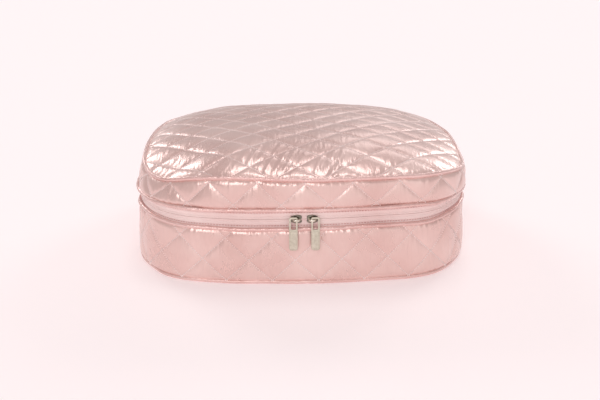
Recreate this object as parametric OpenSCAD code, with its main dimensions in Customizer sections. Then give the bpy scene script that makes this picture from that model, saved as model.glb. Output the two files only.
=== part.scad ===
// Quilted satin makeup bag: a box-shaped bag with a domed lid on a fabric hinge,
// closed by a reverse-coil zip with two sliders that meet at the front.
// Millimetres. +Z is up, the origin is on the ground under the middle of the bag,
// and the front, where the sliders meet, faces -Y.

/* [Bag outline] */
// Width over the pipings
bag_w = 300; // [260:5:340]
// Depth over the pipings
bag_d = 250; // [225:5:270]
// Radius of the bowed front and back edges
front_r = 620; // [560:10:760]
// Radius of the bowed left and right edges
side_r = 400; // [340:10:480]
// Radius of the four plan corners
corner_r = 70; // [60:2:76]

/* [Heights] */
// Height of the zip's centre line
zip_z = 57; // [54:1:64]
// Height of the seam between the lid's side band and its top
lid_seam_z = 90; // [84:1:100]
// How far the padded lid top rises above its seam
dome_rise = 17; // [10:1:24]
// How far the lid's top seam is drawn in from the body's outline
lid_lean = 3; // [0:0.5:5]

/* [Layers] */
// Diameter of the covered cord pipings
piping_d = 3.6; // [3:0.2:4.4]
// Thickness of the quilted satin and its wadding
quilt_t = 2.6; // [2:0.1:2.8]
// Thickness of the wall foam
foam_t = 2.5; // [1.5:0.1:3]
// Thickness of the lining fabric
lining_t = 0.7; // [0.4:0.1:1]
// Thickness of the stiff base board
board_t = 2.4; // [1.6:0.1:3]

/* [Zip] */
// Thickness of the woven zip tape
tape_t = 0.6; // [0.4:0.1:0.7]
// Thickness of the nylon coil, which is on the inside
coil_t = 1.6; // [1.2:0.1:1.8]
// Height of one half of the coil
coil_h = 1.7; // [1.4:0.1:2]
// Open gap between the two halves of the zip
zip_gap = 1.4; // [1.4:0.1:1.8]
// Height of the zip strip seen between its two pipings
strip_h = 12.6; // [11:0.2:14]
// Half length of the fabric hinge at the back
hinge_half = 76; // [60:2:84]

/* [Slider and pull] */
// Length of a slider along the zip
slider_l = 8.2; // [8:0.2:10]
// Width of a slider at its nose
slider_w = 6.6; // [6.4:0.2:8]
// Distance from the bag's middle to a slider's nose
slider_gap = 2.2; // [1.4:0.1:3]
// Width of a pull
pull_w = 6.4; // [5.4:0.2:7]
// Length of a pull, with its window
pull_l = 26.5; // [22:0.5:28]
// How far a hanging pull leans outwards, in degrees
pull_lean = 12; // [11:0.5:14]

/* [Hidden] */

satin = "#e3b7b0";
satin_light = "#edcbc6";
tape_pink = "#eccdcc";
lining_pink = "#dba9a4";
nickel = "#c9c5b8";

// Clear gap between neighbouring layers
gap = 0.05;
piping_r = piping_d / 2;
// Outer face of the side bands, set back from the pipings
band_in = 1;
band_t = quilt_t;
// How far each layer's outer face lies inside the bag's outline
tape_in = band_in + band_t + gap;
foam_in = tape_in + tape_t + gap;
lining_in = foam_in + foam_t + gap;
inside_in = lining_in + lining_t;

base_t = 2;
board_z = base_t + gap;
floor_z = board_z + board_t + gap;
body_piping_z = zip_z - strip_h / 2 - piping_r;
lid_piping_z = zip_z + strip_h / 2 + piping_r;
body_top_z = body_piping_z + piping_r;
lid_bottom_z = lid_piping_z - piping_r;
// The lower zip tape is sewn in this far behind the body's band
tape_hem = 6;

// ---- plan outline ----

front_c = front_r - bag_d / 2;
side_c = side_r - bag_w / 2;
// Centre of the front right corner circle, which touches the front and side arcs
corner = touching([0, front_c], front_r - corner_r, [-side_c, 0], side_r - corner_r);
front_half_angle = atan2(corner[0], front_c - corner[1]);
side_half_angle = atan2(-corner[1], corner[0] + side_c);

// Where two circles cross, on the right-hand side of the line from a to b
function touching(a, ra, b, rb) =
  let (v = b - a, d = norm(v), s = (ra * ra - rb * rb + d * d) / (2 * d), h = sqrt(ra * ra - s * s))
  a + v * s / d + [-v[1], v[0]] * h / d;

// Points on an arc, leaving out the last one
function arc(c, r, from, to, n) = [for (i = [0 : n - 1]) let (t = from + (to - from) * i / n) c + r * [cos(t), sin(t)]];

// The bag's outline seen from above, moved outwards by off
function plan(off = 0) =
  let (f = front_half_angle, s = side_half_angle, c = corner, r = corner_r + off)
  concat(
    arc([0, front_c], front_r + off, -90 - f, -90 + f, 16),
    arc(c, r, -90 + f, -s, 8),
    arc([-side_c, 0], side_r + off, -s, s, 10),
    arc([c[0], -c[1]], r, s, 90 - f, 8),
    arc([0, -front_c], front_r + off, 90 - f, 90 + f, 12),
    arc([-c[0], -c[1]], r, 90 + f, 180 - s, 8),
    arc([side_c, 0], side_r + off, 180 - s, 180 + s, 10),
    arc([-c[0], c[1]], r, 180 + s, 270 - f, 8)
  );

// ---- shared shapes ----

// A closed strip that follows the outline, from z0 to z1
module strip(z0, z1, inset, t) {
  translate([0, 0, z0])
    linear_extrude(z1 - z0)
      difference() {
        polygon(plan(-inset));
        polygon(plan(-inset - t));
      }
}

// A flat sheet that fills the outline
module sheet(z0, t, inset) {
  translate([0, 0, z0])
    linear_extrude(t)
      polygon(plan(-inset));
}

// A closed strip whose outer face leans from one inset to another
module leaning_strip(z0, z1, inset0, inset1, t) {
  n = len(plan());
  rings = [
    for (k = [[inset0, z0], [inset1, z1], [inset1 + t, z1], [inset0 + t, z0]])
      [for (p = plan(-k[0])) [p[0], p[1], k[1]]]
  ];
  polyhedron(
    [for (r = rings) each r],
    [for (k = [0 : 3], i = [0 : n - 1])
      let (a = k * n + i, b = k * n + (i + 1) % n, c = ((k + 1) % 4) * n + (i + 1) % n, d = ((k + 1) % 4) * n + i)
      each [[a, c, b], [a, d, c]]]
  );
}

// A covered cord that follows the outline at height z
module piping(z, inset) {
  sides = 8;
  path = plan(-inset);
  n = len(path);
  points = [
    for (i = [0 : n - 1])
      let (t = path[(i + 1) % n] - path[(i + n - 1) % n], out = [t[1], -t[0]] / norm(t))
      for (j = [0 : sides - 1])
        let (a = 360 * (j + 0.5) / sides, r = piping_r / cos(180 / sides))
        [path[i][0] + out[0] * r * cos(a), path[i][1] + out[1] * r * cos(a), z + r * sin(a)]
  ];
  polyhedron(
    points,
    [for (i = [0 : n - 1], j = [0 : sides - 1])
      let (a = i * sides + j, b = ((i + 1) % n) * sides + j,
           c = ((i + 1) % n) * sides + (j + 1) % sides, d = i * sides + (j + 1) % sides)
      each [[a, c, b], [a, d, c]]]
  );
}

// One layer of the padded lid top: a shell t thick whose rim is at z
module dome(z, rise, inset, t) {
  rings = [1, 0.97, 0.9, 0.78, 0.6, 0.35];
  fullness = 3.6;
  rim = plan(-inset);
  n = len(rim);
  m = len(rings);
  top = [for (s = rings, p = rim) [p[0] * s, p[1] * s, z + rise * (1 - pow(s, fullness))]];
  points = concat(top, [[0, 0, z + rise]], [for (p = top) p - [0, 0, t]], [[0, 0, z + rise - t]]);
  under = m * n + 1;
  polyhedron(
    points,
    concat(
      [for (k = [0 : m - 2], i = [0 : n - 1])
        let (a = k * n + i, b = k * n + (i + 1) % n, c = a + n, d = b + n)
        each [[a, c, d], [a, d, b], [under + a, under + d, under + c], [under + a, under + b, under + d]]],
      [for (i = [0 : n - 1])
        let (a = (m - 1) * n + i, b = (m - 1) * n + (i + 1) % n)
        each [[a, m * n, b], [under + a, under + b, under + m * n]]],
      [for (i = [0 : n - 1])
        let (b = (i + 1) % n)
        each [[i, b, under + b], [i, under + b, under + i]]]
    )
  );
}

// The stretch of the back edge that the fabric hinge takes up
module hinge_zone(half, z0, z1) {
  translate([-half, bag_d / 2 - 24, z0])
    cube([2 * half, 30, z1 - z0]);
}

// ---- base ----

module base_panel() {
  color(satin) sheet(0, base_t, piping_d + gap);
}

module base_board() {
  color("#8f8680") sheet(board_z, board_t, tape_in + gap);
}

module base_lining() {
  color(lining_pink) sheet(floor_z, lining_t, lining_in);
}

module base_piping() {
  color(satin_light) piping(piping_r, piping_r);
}

// Bias tape that covers the raw edge where the floor meets the wall lining
module base_seam_binding() {
  color(satin_light) strip(floor_z + lining_t + gap, floor_z + lining_t + 4, inside_in + gap, 1.2);
}

module body_band() {
  color(satin) strip(piping_d + gap, body_piping_z - piping_r - gap, band_in, band_t);
}

module body_foam() {
  color("#efe9e4") strip(floor_z, body_top_z - 0.5, foam_in, foam_t);
}

module body_lining() {
  color(lining_pink) strip(floor_z + lining_t + gap, body_top_z, lining_in, lining_t);
}

module body_zip_piping() {
  color(satin_light) piping(body_piping_z, piping_r);
}

// ---- zip ----

module lower_zip_tape() {
  color(tape_pink)
    difference() {
      strip(body_piping_z - piping_r - tape_hem, zip_z - zip_gap / 2, tape_in, tape_t);
      hinge_zone(hinge_half - 2, body_top_z - 1, zip_z + 1);
    }
}

module upper_zip_tape() {
  color(tape_pink)
    difference() {
      strip(zip_z + zip_gap / 2, lid_piping_z + piping_r, tape_in, tape_t);
      hinge_zone(hinge_half - 2, zip_z - 1, lid_bottom_z + 1);
    }
}

// Half of the nylon coil, drawn as the bar that its turns fill
module zip_coil(z0) {
  color("#f3e3e2")
    difference() {
      strip(z0, z0 + coil_h, tape_in + tape_t + gap, coil_t);
      hinge_zone(hinge_half - 2, z0 - 1, z0 + coil_h + 1);
    }
}

// ---- hinge ----

// Satin panel that joins the body to the lid across the back, between the two zip ends
module hinge_panel() {
  color(satin)
    intersection() {
      strip(body_top_z + gap, lid_bottom_z - gap, band_in + 0.6, 1.2);
      hinge_zone(hinge_half, body_top_z - 1, lid_bottom_z + 1);
    }
}

// ---- lid ----

module lid_zip_piping() {
  color(satin_light) piping(lid_piping_z, piping_r);
}

lid_band_z0 = lid_piping_z + piping_r + gap;
lid_band_z1 = lid_seam_z - piping_r - gap;

module lid_band() {
  color(satin) leaning_strip(lid_band_z0, lid_band_z1, band_in, band_in + lid_lean, band_t);
}

// The inner layers lean with the band
module lid_band_foam() {
  color("#efe9e4")
    leaning_strip(lid_bottom_z + 0.5, lid_band_z1, foam_in + gap, foam_in + lid_lean + gap, foam_t);
}

module lid_band_lining() {
  color(lining_pink)
    leaning_strip(lid_bottom_z, lid_lining_z - gap, lining_in + 2 * gap, lining_in + lid_lean + 2 * gap, lining_t);
}

dome_inset = lid_lean + piping_d + gap;
top_foam_t = 2;
foam_dome_z = lid_seam_z - quilt_t + 1.4 - gap;
// Underside of the lid top's lining at its rim
lid_lining_z = foam_dome_z - top_foam_t - gap - lining_t;

module lid_top_piping() {
  color(satin_light) piping(lid_seam_z, lid_lean + piping_r);
}

module lid_top_panel() {
  color(satin) dome(lid_seam_z + 1.4, dome_rise, dome_inset, quilt_t);
}

module lid_top_foam() {
  color("#efe9e4") dome(foam_dome_z, dome_rise, dome_inset + 3.2, top_foam_t);
}

module lid_top_lining() {
  color(lining_pink) dome(lid_lining_z + lining_t, dome_rise, dome_inset + 3.3, lining_t);
}

// Bias tape round the inside of the lid, under the edge of its lining
module lid_seam_binding() {
  color(satin_light)
    strip(lid_lining_z - gap - 4, lid_lining_z - gap, inside_in + lid_lean + 3 * gap, 1.2);
}

// ---- sliders ----

// Everything here is drawn for the slider on the right and mirrored for the left one.
plate_t = 0.9;
plate_clear = 0.2;
tape_y = -bag_d / 2 + tape_in;
plate_y = tape_y - plate_clear;
inner_plate_y = tape_y + tape_t + gap + coil_t + plate_clear;
eye_h = 3;
crown_t = 0.9;
crown_w = 1.6;
crown_y = plate_y - plate_t - eye_h;
slider_mid = slider_gap + slider_l / 2;
slider_end = slider_gap + slider_l;
inner_foot_x = slider_gap + 1.5;
outer_foot_x = slider_end - 1.6;
pull_y = crown_y + 0.95;
pull_t = 1.1;

// Draws its children on the right of the middle, or mirrored on the left
module on_side(side) {
  mirror([side < 0 ? 1 : 0, 0, 0]) children();
}

// A slider plate seen from the front: wide at the nose, narrow at the tail
module plate(y0, t) {
  nose_r = 1.6;
  tail_r = 1.2;
  tail_w = slider_w - 1.6;
  translate([0, y0, zip_z])
    rotate([90, 0, 0])
      mirror([0, 0, 1])
        linear_extrude(t)
          union() {
            polygon([
              [slider_gap + nose_r, -slider_w / 2], [slider_gap, -slider_w / 2 + nose_r],
              [slider_gap, slider_w / 2 - nose_r], [slider_gap + nose_r, slider_w / 2],
              [slider_mid, slider_w / 2], [slider_end - tail_r, tail_w / 2],
              [slider_end, tail_w / 2 - tail_r], [slider_end, -tail_w / 2 + tail_r],
              [slider_end - tail_r, -tail_w / 2], [slider_mid, -slider_w / 2]
            ]);
          }
}

// Two plates joined by the wedge that parts the coils. The flanges along the lid's side are
// left off, so that the lid's half of the zip can lift out.
module slider(side) {
  wedge_l = 2.2;
  wedge_h = 0.9;
  flange_h = 0.5;
  color(nickel)
    on_side(side)
      union() {
        plate(plate_y - plate_t, plate_t);
        plate(inner_plate_y, plate_t);
        translate([slider_gap, plate_y - plate_t, zip_z - wedge_h / 2])
          cube([wedge_l, inner_plate_y - plate_y + 2 * plate_t, wedge_h]);
        translate([slider_gap + 1.8, inner_plate_y - 0.6, zip_z - slider_w / 2])
          cube([slider_l - 4.6, 0.6 + plate_t / 2, flange_h]);
      }
}

// The bridge that the pull hangs from: a flat bar on two feet
module slider_crown(side) {
  foot = 1.1;
  length = outer_foot_x - inner_foot_x + foot;
  color(nickel)
    on_side(side)
      translate([inner_foot_x - foot / 2, 0, zip_z - crown_w / 2])
        union() {
          translate([0, crown_y - crown_t, 0]) cube([length, crown_t, crown_w]);
          for (x = [0, length - foot])
            translate([x, crown_y - 0.1, 0]) cube([foot, eye_h + 0.1, crown_w]);
        }
}

// A cast pull: a window frame that hangs on the crown's outer foot, and a flat tab below it
module pull(side) {
  bar = 1.05;
  window_l = 10;
  end_r = 1.6;
  top = crown_w / 2 + 0.35 + bar;
  color(nickel)
    on_side(side)
      translate([outer_foot_x, pull_y, zip_z])
        rotate([90 - pull_lean, 0, 0])
          translate([0, 0, -pull_t / 2])
            difference() {
              linear_extrude(pull_t)
                difference() {
                  union() {
                    translate([-pull_w / 2, top - pull_l + end_r]) square([pull_w, pull_l - end_r - 0.8]);
                    translate([-pull_w / 2 + 0.8, top - 2]) square([pull_w - 1.6, 2]);
                    translate([-pull_w / 2 + end_r, top - pull_l]) square([pull_w - 2 * end_r, 2 * end_r]);
                    for (x = [-1, 1])
                      translate([x * (pull_w / 2 - end_r), top - pull_l + end_r]) circle(end_r, $fn = 32);
                    for (x = [-1, 1])
                      translate([x * (pull_w / 2 - 0.8), top - 0.8]) circle(0.8, $fn = 32);
                  }
                  translate([-pull_w / 2 + bar, top - window_l]) square([pull_w - 2 * bar, window_l - bar]);
                }
            }
}

base_panel();
base_board();
base_lining();
base_piping();
base_seam_binding();
body_band();
body_foam();
body_lining();
body_zip_piping();
lower_zip_tape();
zip_coil(zip_z - zip_gap / 2 - coil_h);  // lower_zip_coil
hinge_panel();
upper_zip_tape();
zip_coil(zip_z + zip_gap / 2);  // upper_zip_coil
lid_zip_piping();
lid_band();
lid_band_foam();
lid_band_lining();
lid_seam_binding();
lid_top_piping();
lid_top_panel();
lid_top_foam();
lid_top_lining();
slider(-1);  // left_slider
slider_crown(-1);  // left_slider_crown
pull(-1);  // left_pull
slider(1);  // right_slider
slider_crown(1);  // right_slider_crown
pull(1);  // right_pull
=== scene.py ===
import math

import bmesh
import bpy
import numpy as np
from mathutils import Matrix, Vector


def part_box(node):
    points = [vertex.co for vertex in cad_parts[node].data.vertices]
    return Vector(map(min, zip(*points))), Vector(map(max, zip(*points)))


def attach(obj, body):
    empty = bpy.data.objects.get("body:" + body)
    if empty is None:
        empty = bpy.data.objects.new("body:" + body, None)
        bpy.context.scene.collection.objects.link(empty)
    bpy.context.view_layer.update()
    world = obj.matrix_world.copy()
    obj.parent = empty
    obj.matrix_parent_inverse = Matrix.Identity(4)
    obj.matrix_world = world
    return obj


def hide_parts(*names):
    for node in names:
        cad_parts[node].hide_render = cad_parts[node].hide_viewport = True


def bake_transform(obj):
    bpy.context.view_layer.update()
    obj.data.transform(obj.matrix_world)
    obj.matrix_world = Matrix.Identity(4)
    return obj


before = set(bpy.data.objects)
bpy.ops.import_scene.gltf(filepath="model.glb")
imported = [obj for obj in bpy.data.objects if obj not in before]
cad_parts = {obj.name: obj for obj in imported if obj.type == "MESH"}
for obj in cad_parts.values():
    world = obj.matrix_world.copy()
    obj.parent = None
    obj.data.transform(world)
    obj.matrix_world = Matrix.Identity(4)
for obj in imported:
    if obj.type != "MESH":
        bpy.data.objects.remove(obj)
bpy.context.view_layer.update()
scene = bpy.context.scene

# ---- The table and the light ----
# The bag stands on a plain pale acrylic table top, lit softly from beneath, under broad
# studio lights: one above, three behind, one at the front left and one low in front.

floor_half = 6.0
floor_corners = [(x * floor_half, y * floor_half, 0) for x, y in ((-1, -1), (1, -1), (1, 1), (-1, 1))]
floor_mesh = bpy.data.meshes.new("table_top")
floor_mesh.from_pydata(floor_corners, [], [(0, 1, 2, 3)])
floor = bpy.data.objects.new("table_top", floor_mesh)
scene.collection.objects.link(floor)
floor_paint = bpy.data.materials.new("pale_table")
floor_paint.use_nodes = True
acrylic = floor_paint.node_tree.nodes["Principled BSDF"].inputs
acrylic["Base Color"].default_value = (0.86, 0.79, 0.795, 1)
acrylic["Emission Color"].default_value = (1.0, 0.89, 0.905, 1)
acrylic["Emission Strength"].default_value = 0.31
acrylic["Roughness"].default_value = 0.9
acrylic["Specular IOR Level"].default_value = 0.0
floor_mesh.materials.append(floor_paint)

scene.view_settings.view_transform = "Standard"
room = bpy.data.worlds.new("studio")
room.use_nodes = True
scene.world = room
room_nodes = room.node_tree.nodes
room_links = room.node_tree.links
seen_light = room_nodes.new("ShaderNodeLightPath")
backdrop = room_nodes["Background"]
backdrop.inputs["Color"].default_value = (1.0, 0.95, 0.95, 1)
backdrop.inputs["Strength"].default_value = 0.42
seen = room_nodes.new("ShaderNodeBackground")
seen.inputs["Color"].default_value = (1.0, 0.915, 0.925, 1)
seen.inputs["Strength"].default_value = 1.0
either = room_nodes.new("ShaderNodeMixShader")
room_links.new(seen_light.outputs["Is Camera Ray"], either.inputs["Fac"])
room_links.new(backdrop.outputs["Background"], either.inputs[1])
room_links.new(seen.outputs["Background"], either.inputs[2])
room_links.new(either.outputs["Shader"], room_nodes["World Output"].inputs["Surface"])


def broad_light(name, source, strength, spread):
    """A distant studio light that shines from source towards the bag, spread degrees wide."""
    lamp = bpy.data.lights.new(name, "SUN")
    lamp.energy = strength
    lamp.angle = math.radians(spread)
    lamp.color = (1.0, 0.98, 0.975)
    holder = bpy.data.objects.new(name, lamp)
    holder.rotation_euler = (-Vector(source)).to_track_quat("-Z", "Y").to_euler()
    scene.collection.objects.link(holder)


broad_light("overhead", (0.05, 0.30, 1.0), 0.48, 22)
broad_light("high_back", (0.22, 0.80, 0.50), 0.12, 20)
broad_light("back_left", (-0.58, 0.72, 0.48), 0.48, 20)
broad_light("back_right", (0.60, 0.72, 0.46), 0.44, 20)
broad_light("front_left", (-0.34, -1.0, 0.66), 0.58, 24)
broad_light("front_low", (0.24, -1.0, 0.02), 0.64, 70)

camera_data = bpy.data.cameras.new("camera")
camera_data.lens = 34.8
camera = bpy.data.objects.new("camera", camera_data)
camera_reach = 0.586
camera_rise = math.radians(22.5)
camera_turn = -0.028
aim = Vector((0, 0, 0.0228))
camera.location = aim + camera_reach * Vector(
    (
        math.cos(camera_rise) * math.sin(camera_turn),
        -math.cos(camera_rise) * math.cos(camera_turn),
        math.sin(camera_rise),
    )
)
camera.rotation_euler = (aim - camera.location).to_track_quat("-Z", "Y").to_euler()
scene.collection.objects.link(camera)
scene.camera = camera

# ---- The body's quilted side band ----
# One long strip of blush satin, backed with wadding and stitched in diamonds on a
# multi-needle machine, then sewn round the base and eased round the four corners.


def corners_of(node):
    """The lowest and highest corners of a CAD node at rest."""
    return [np.array(corner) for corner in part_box(node)]


seam_low, seam_high = corners_of("body_zip_piping")
half_w = seam_high[0]
half_d = seam_high[1]
cord_r = (seam_high[2] - seam_low[2]) / 2
body_seam_z = (seam_high[2] + seam_low[2]) / 2
front_r = 0.620
side_r = 0.400
corner_r = 0.070
front_c = np.array([0, front_r - half_d])
side_c = np.array([half_w - side_r, 0])
gap_line = side_c - front_c
gap_d = np.linalg.norm(gap_line)
along = ((front_r - corner_r) ** 2 - (side_r - corner_r) ** 2 + gap_d ** 2) / (2 * gap_d)
aside = math.sqrt((front_r - corner_r) ** 2 - along ** 2)
corner_c = front_c + (gap_line * along + np.array([-gap_line[1], gap_line[0]]) * aside) / gap_d
front_a = math.atan2(corner_c[0], front_c[1] - corner_c[1])
side_a = math.atan2(-corner_c[1], corner_c[0] - side_c[0])
quarter = math.pi / 2
flip = np.array([1, -1])

# Centre, radius, first angle and last angle of each arc, from the front middle round to the right
arcs = [
    (front_c, front_r, -quarter, -quarter + front_a),
    (corner_c, corner_r, -quarter + front_a, -side_a),
    (side_c, side_r, -side_a, side_a),
    (corner_c * flip, corner_r, side_a, quarter - front_a),
    (-front_c, front_r, quarter - front_a, quarter + front_a),
    (-corner_c, corner_r, quarter + front_a, 2 * quarter - side_a),
    (-side_c, side_r, 2 * quarter - side_a, 2 * quarter + side_a),
    (-corner_c * flip, corner_r, 2 * quarter + side_a, 3 * quarter - front_a),
    (front_c, front_r, 3 * quarter - front_a, 3 * quarter),
]
arc_ends = np.cumsum([radius * (last - first) for _, radius, first, last in arcs])
girth = arc_ends[-1]


def outline(u, inset=0.0):
    """Points of the bag's outline, moved in by inset, at distances u from the front middle.

    The outward directions there come second.
    """
    u = np.mod(np.asarray(u, float), girth)
    which = np.clip(np.searchsorted(arc_ends, u, side="right"), 0, len(arcs) - 1)
    centres = np.array([arc[0] for arc in arcs])[which]
    radii = np.array([arc[1] for arc in arcs])[which]
    firsts = np.array([arc[2] for arc in arcs])[which]
    starts = np.concatenate([[0], arc_ends[:-1]])[which]
    angle = firsts + (u - starts) / radii
    out = np.stack([np.cos(angle), np.sin(angle)], axis=-1)
    return centres + out * (radii - inset)[..., None], out


lid_low, lid_high = corners_of("lid_zip_piping")
lid_rim_z = (lid_low[2] + lid_high[2]) / 2
top_low, top_high = corners_of("lid_top_piping")
lid_seam_z = (top_low[2] + top_high[2]) / 2
lid_lean = half_w - top_high[0]


def swell(u, centre, width):
    """A smooth bump, 1 at centre and about 0 beyond twice width, on the closed outline."""
    away = np.mod(np.asarray(u) - centre + girth / 2, girth) - girth / 2
    return np.exp(-((away / width) ** 2))


# How far the soft seams have crept up or down from their cut lines, in metres.
front_right = arc_ends[1] - 0.030
front_left = girth - front_right


def body_seam_lift(u):
    corners = 0.0048 * swell(u, front_right + 0.012, 0.045) + 0.0030 * swell(u, front_left - 0.010, 0.045)
    back = 0.0030 * swell(u, girth / 2 - 0.16, 0.06) + 0.0035 * swell(u, girth / 2 + 0.16, 0.06)
    return corners + back + 0.0012 * swell(u, 0.060, 0.030) - 0.0008 * swell(u, girth - 0.045, 0.030)


def lid_rim_lift(u):
    front = 0.0008 * swell(u, 0.090, 0.030) - 0.0008 * swell(u, girth - 0.060, 0.035)
    return front + 0.0006 * swell(u, 0.4, 0.08)


def lid_seam_lift(u):
    dips = 0.0068 * swell(u, front_left + 0.016, 0.034) + 0.0046 * swell(u, front_right + 0.024, 0.040)
    back = 0.0030 * swell(u, girth / 2 - 0.15, 0.05) + 0.0034 * swell(u, girth / 2 + 0.15, 0.05)
    side = 0.0015 * swell(u, front_left - 0.030, 0.040)
    return 0.0014 * swell(u, girth - 0.058, 0.030) - 0.0006 - dips - back - side


def lid_slump(u):
    """How far the lid's top seam has been pushed further in than its even lean."""
    return 0.0046 * swell(u, front_left + 0.020, 0.050) + 0.0030 * swell(u, front_left - 0.060, 0.060)


def lift(u, z):
    """Height change of a soft point, blended between the table and the three seams."""
    low = np.clip(z / body_seam_z, 0, 1)
    mid = np.clip((z - body_seam_z) / (lid_rim_z - body_seam_z), 0, 1)
    high = np.clip((z - lid_rim_z) / (lid_seam_z - lid_rim_z), 0, 1)
    lower = body_seam_lift(u) * low * (1 - mid)
    return lower + lid_rim_lift(u) * mid * (1 - high) + lid_seam_lift(u) * high


def at_height(flat, u, z):
    """Points of the outline raised to height z, with the lift of the soft seams."""
    return np.column_stack([flat, z + lift(u, np.full_like(u, z))])


def ripple(a, b, seed, reach, count=7):
    """Gentle irregular waves over two coordinates, about -1 to 1, with wavelengths near reach."""
    dice = np.random.default_rng(seed)
    total = np.zeros(np.broadcast(a, b).shape)
    for _ in range(count):
        turn = dice.uniform(0, 2 * math.pi)
        pace = 2 * math.pi / (reach * dice.uniform(0.7, 1.6))
        total += np.sin(pace * (a * math.cos(turn) + b * math.sin(turn)) + dice.uniform(0, 2 * math.pi))
    return total / math.sqrt(count)


def grid_faces(columns, rows, closed, tube=False):
    """Quads of a grid whose points run row by row within each column. A tube's rows join up too."""
    i = np.arange(columns if closed else columns - 1)
    j = np.arange(rows if tube else rows - 1)
    i, j = np.meshgrid(i, j, indexing="ij")
    k = (i + 1) % columns
    m = (j + 1) % rows
    corners = [i * rows + j, k * rows + j, k * rows + m, i * rows + m]
    return np.stack(corners, axis=-1).reshape(-1, 4)


def rod_faces(rings, sides, count=1):
    """Quads and end caps of count separate rods, each made of rings of points."""
    quads = []
    for ring in range(rings - 1):
        low = ring * sides
        high = low + sides
        for side in range(sides):
            other = (side + 1) % sides
            quads.append([low + side, low + other, high + other, high + side])
    base = np.arange(count)[:, None] * rings * sides
    quads = (np.array(quads)[None] + base[:, :, None]).reshape(-1, 4)
    first = base + np.arange(sides)[::-1]
    last = base + np.arange((rings - 1) * sides, rings * sides)
    return quads.tolist() + first.tolist() + last.tolist()


def piece(name, points, faces, finish):
    """A smooth-shaded mesh object with one material."""
    mesh = bpy.data.meshes.new(name)
    mesh.from_pydata(np.reshape(points, (-1, 3)).tolist(), [], [list(face) for face in faces])
    mesh.polygons.foreach_set("use_smooth", [True] * len(mesh.polygons))
    mesh.materials.append(finish)
    mesh.update()
    thing = bpy.data.objects.new(name, mesh)
    scene.collection.objects.link(thing)
    return thing


def relax_cloth(thing, sewn, cut, push, frames=14, reach=0.002):
    """Settles the cloth between its sewn points under the push of its wadding.

    cut holds the points as the cloth was cut, flat and roomier.
    """
    rest = np.empty(len(thing.data.vertices) * 3)
    thing.data.vertices.foreach_get("co", rest)
    thing.shape_key_add(name="sewn_up")
    roomy = thing.shape_key_add(name="as_cut")
    roomy.data.foreach_set("co", np.asarray(cut).ravel())
    group = thing.vertex_groups.new(name="sewn")
    group.add(np.nonzero(sewn)[0].tolist(), 1.0, "REPLACE")
    cloth = thing.modifiers.new("cloth", "CLOTH")
    settings = cloth.settings
    settings.quality = 4
    settings.mass = 0.15
    settings.tension_stiffness = 8
    settings.compression_stiffness = 8
    settings.shear_stiffness = 2.0
    settings.bending_stiffness = 0.0004
    settings.bending_damping = 0.5
    settings.vertex_group_mass = "sewn"
    settings.rest_shape_key = roomy
    settings.use_pressure = True
    settings.uniform_pressure_force = push
    settings.effector_weights.gravity = 0
    cloth.collision_settings.use_collision = False
    cloth.point_cache.frame_end = frames + 1
    for step in range(1, frames + 1):
        scene.frame_set(step)
    settled = thing.evaluated_get(bpy.context.evaluated_depsgraph_get())
    moved = np.empty_like(rest)
    settled.data.vertices.foreach_get("co", moved)
    shift = (moved - rest).reshape(-1, 3)
    length = np.linalg.norm(shift, axis=1, keepdims=True)
    shift *= np.minimum(1, reach / np.maximum(length, 1e-9))
    thing.modifiers.remove(cloth)
    thing.vertex_groups.remove(group)
    thing.shape_key_clear()
    scene.frame_set(1)
    points = rest.reshape(-1, 3) + shift
    thing.data.vertices.foreach_set("co", points.ravel())
    thing.data.update()
    return points


def smooth_surface(thing, levels=1):
    modifier = thing.modifiers.new("smooth", "SUBSURF")
    modifier.levels = levels
    modifier.render_levels = levels


def add_node(tree, kind, **settings):
    """A new shader node with its named inputs or properties set."""
    node = tree.nodes.new(kind)
    for key, value in settings.items():
        socket = node.inputs.get(key.replace("_", " "))
        if socket is not None and not hasattr(node, key):
            socket.default_value = value
        else:
            setattr(node, key, value)
    return node


def new_group(name, sockets):
    """An empty node group. sockets gives the direction, the kind and the names of its sockets."""
    group = bpy.data.node_groups.new(name, "ShaderNodeTree")
    for direction, kind, labels in sockets:
        for label in labels:
            group.interface.new_socket(label, in_out=direction, socket_type="NodeSocket" + kind)
    return group


def multiplied(tree, first, second):
    """The product of two node outputs."""
    node = add_node(tree, "ShaderNodeMath", operation="MULTIPLY")
    tree.links.new(first, node.inputs[0])
    tree.links.new(second, node.inputs[1])
    return node.outputs[0]


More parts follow.
